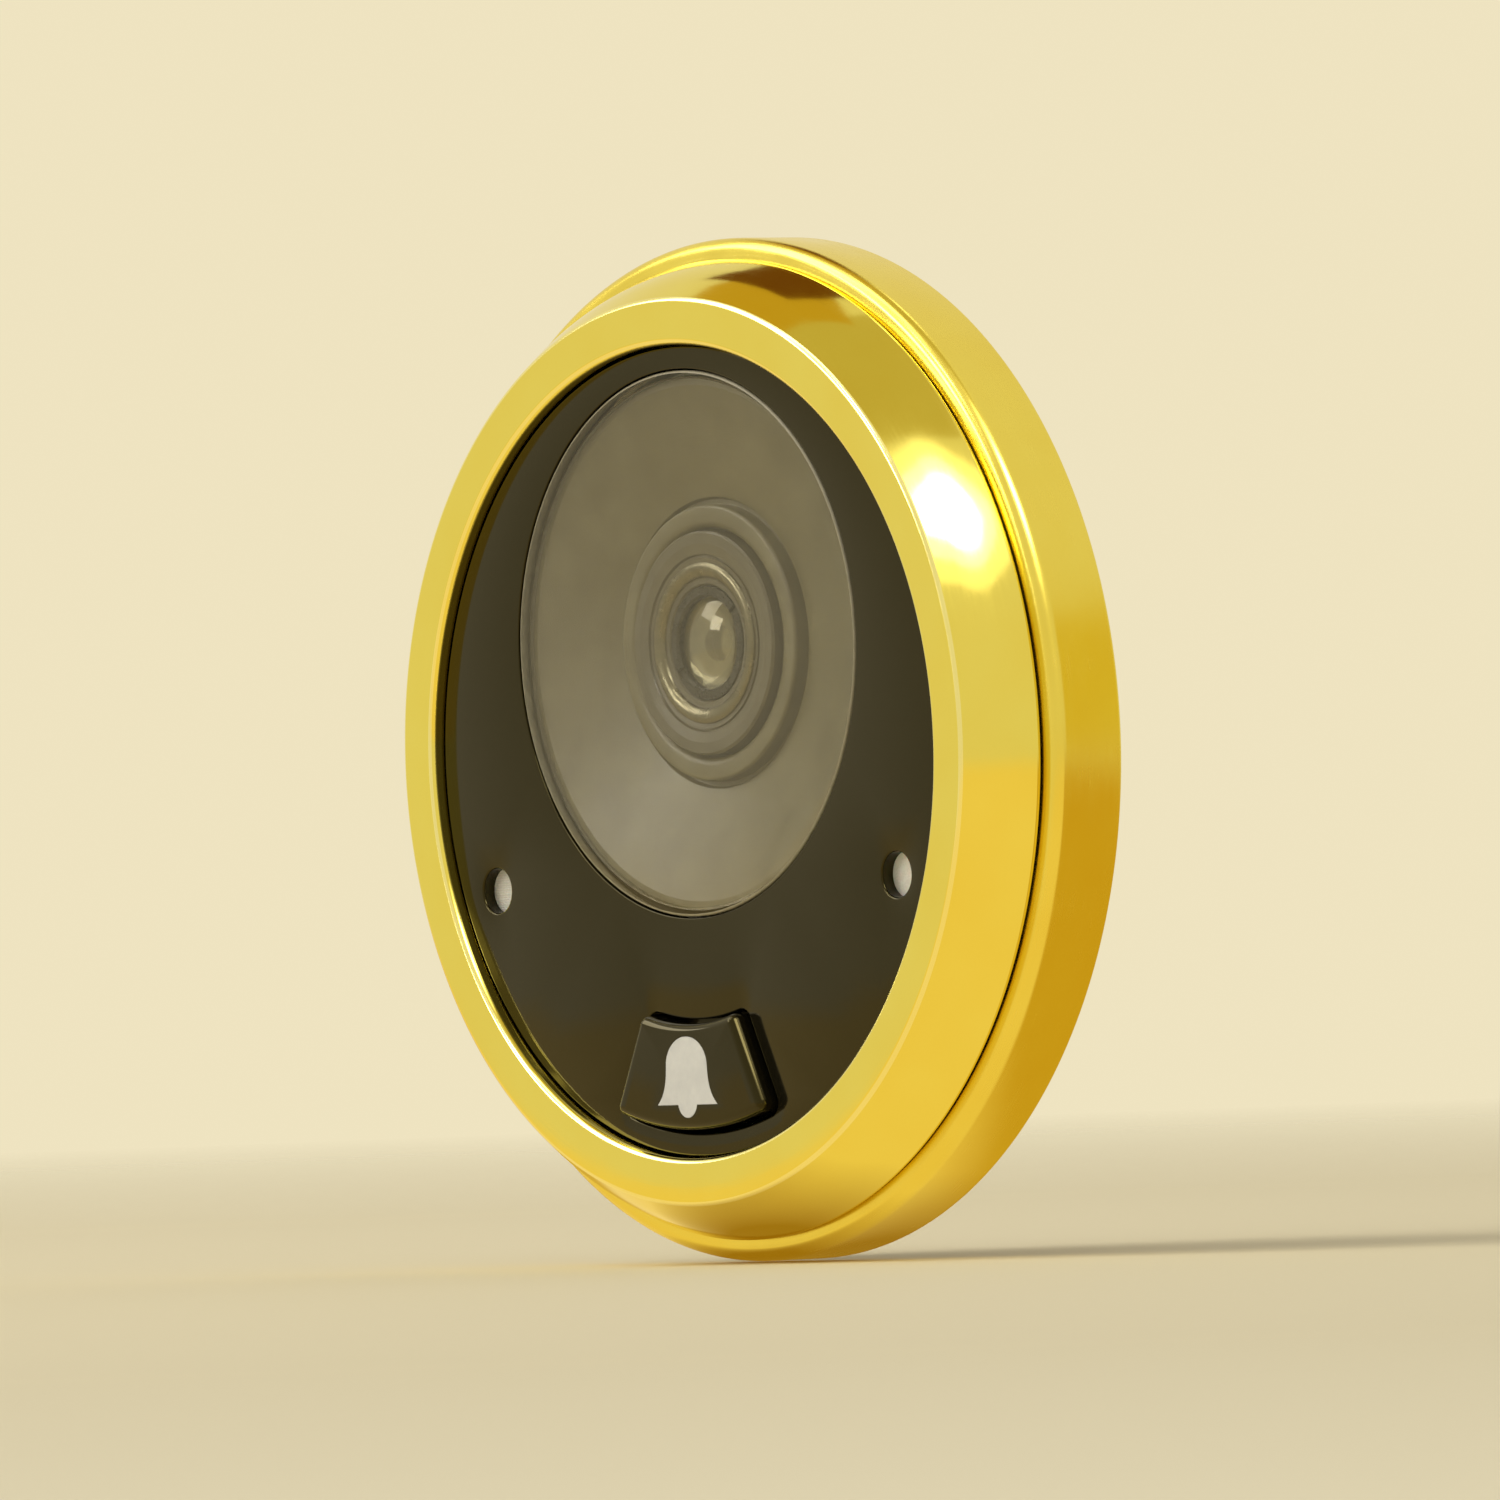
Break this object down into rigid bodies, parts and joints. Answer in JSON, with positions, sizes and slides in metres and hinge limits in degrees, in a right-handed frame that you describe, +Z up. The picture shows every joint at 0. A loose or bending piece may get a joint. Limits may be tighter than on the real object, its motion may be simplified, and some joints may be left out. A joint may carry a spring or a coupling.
{
  "type": "peephole door camera",
  "caption": "Round outdoor unit of a digital door viewer: gold ring and base, black face with domed camera window and sprung bell key, hollow threaded stem for the door hole.",
  "frame": {"origin": "centre of the rear face that sits on the door, on the axis of the stem", "axes": "+Y into the door along the stem, the face looks along -Y, +Z up, +X right when looking at the face"},
  "size_m": [0.058, 0.0246, 0.058],
  "materials": {
    "gold_plate": "polished gold plating on a zinc casting",
    "stem_metal": "satin gold plating",
    "foam": "closed-cell foam",
    "seal_rubber": "matt rubber",
    "screw_steel": "zinc plated",
    "face_black": "high gloss",
    "tape_white": "adhesive film",
    "window_clear": "clear acrylic, polished",
    "shroud_grey": "satin",
    "camera_black": "matt black",
    "retainer_metal": "satin anodised",
    "lens_glass": "coated glass",
    "sensor_dark": "matt",
    "board_green": "solder mask",
    "capacitor_tan": "matt",
    "socket_ivory": "moulded",
    "can_metal": "satin",
    "pale_white": "matt white",
    "sensor_pale": "matt",
    "switch_black": "matt"
  },
  "bodies": {
    "housing": {"bezel_ring": "gold_plate", "base_dish": "gold_plate", "threaded_stem": "stem_metal", "seal_pad": "foam", "body_o_ring": "seal_rubber", "sound_tube": "seal_rubber", "case_screws": "screw_steel", "front_panel": "face_black", "panel_tape": "tape_white", "window_tape": "tape_white", "window_dome": "window_clear", "lens_shroud": "shroud_grey", "lens_holder": "camera_black", "lens_barrel": "camera_black", "aperture_stop": "camera_black", "glass_retainer": "retainer_metal", "front_glass": "lens_glass", "rear_glass": "lens_glass", "infrared_filter": "lens_glass", "image_sensor": "sensor_dark", "image_processor": "sensor_dark", "camera_board": "board_green", "board_capacitors": "capacitor_tan", "cable_socket": "socket_ivory", "microphone": "can_metal", "sound_membrane": "pale_white", "light_guide": "pale_white", "light_sensor": "sensor_pale", "switch_body": "switch_black"},
    "key": {"bell_key": "face_black", "bell_symbol": "pale_white", "switch_plunger": "socket_ivory"}
  },
  "joints": [
    {"name": "bell_push", "type": "slide", "parent": "housing", "child": "key", "axis": [0, 1, 0], "range_m": [0, 0.0005], "stiffness_N_per_m": 2500, "springref_m": -0.0002}
  ]
}
